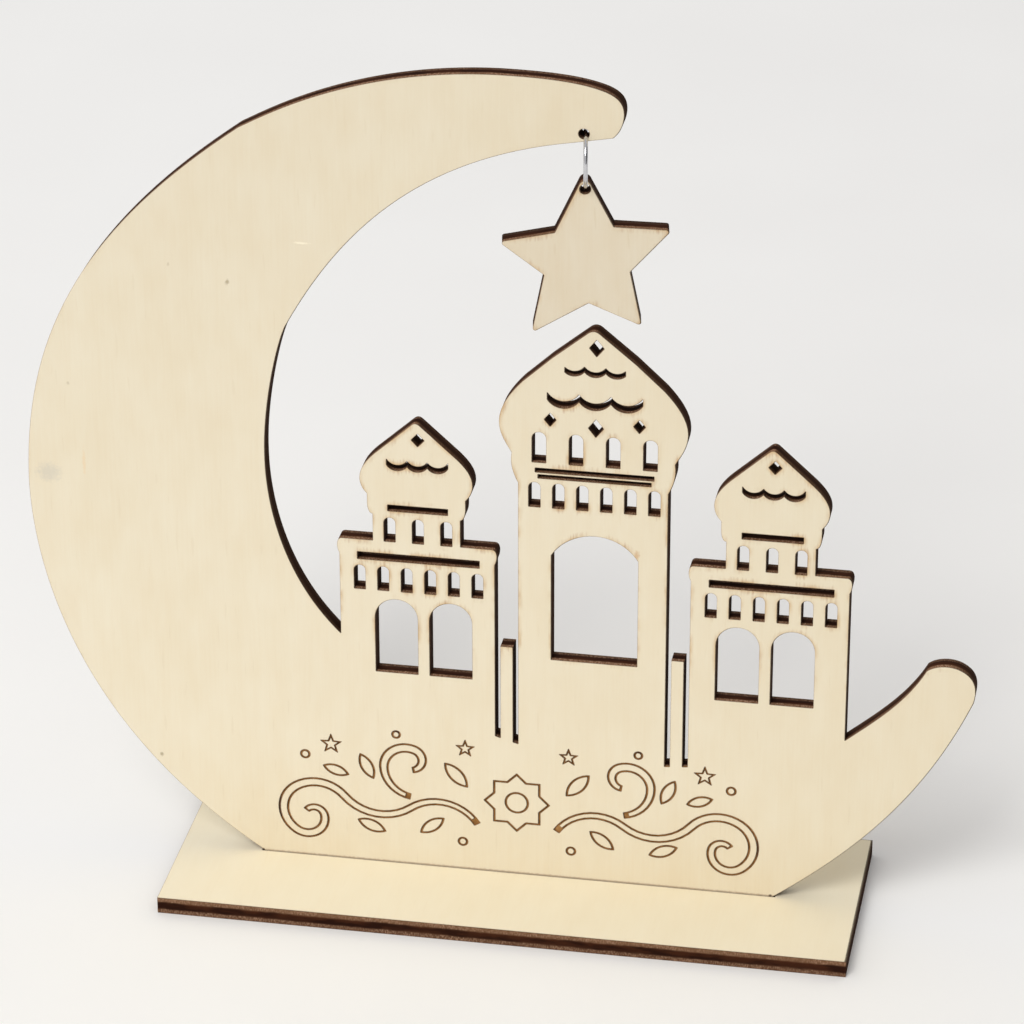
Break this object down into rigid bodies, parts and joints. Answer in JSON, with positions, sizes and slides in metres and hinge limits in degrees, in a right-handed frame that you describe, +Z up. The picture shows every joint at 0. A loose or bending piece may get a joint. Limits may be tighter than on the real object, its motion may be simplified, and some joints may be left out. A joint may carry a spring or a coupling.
{
  "type": "crescent ornament",
  "caption": "Standing crescent silhouette with a skyline of domed towers inside it, slotted into a flat base plate, with a small star swinging from its upper horn on a wire ring.",
  "frame": {"origin": "middle of the base plate's underside", "axes": "+X along the base plate towards the lower horn's side, +Y from the engraved front face to the back, +Z up"},
  "size_m": [0.1632, 0.041, 0.1521],
  "materials": {
    "base_plywood": "bare sanded plywood, edges burnt brown by the cutter",
    "panel_plywood": "bare sanded plywood, edges burnt brown by the cutter",
    "star_plywood": "bare sanded plywood, edges burnt brown by the cutter",
    "ring_wire": "bright plated wire"
  },
  "bodies": {
    "stand": {"base_plate": "base_plywood", "crescent_panel": "panel_plywood"},
    "ring": {"jump_ring": "ring_wire"},
    "star": {"star": "star_plywood"}
  },
  "joints": [
    {"name": "ring_swing", "type": "hinge", "parent": "stand", "child": "ring", "pos_m": [0.01115, 0, 0.14286], "axis": [0, 1, 0], "range_deg": [-12, 30]},
    {"name": "star_swing", "type": "hinge", "parent": "ring", "child": "star", "pos_m": [0.01115, 0, 0.13805], "axis": [0.9863, 0.165, 0], "range_deg": [-90, 90]}
  ]
}
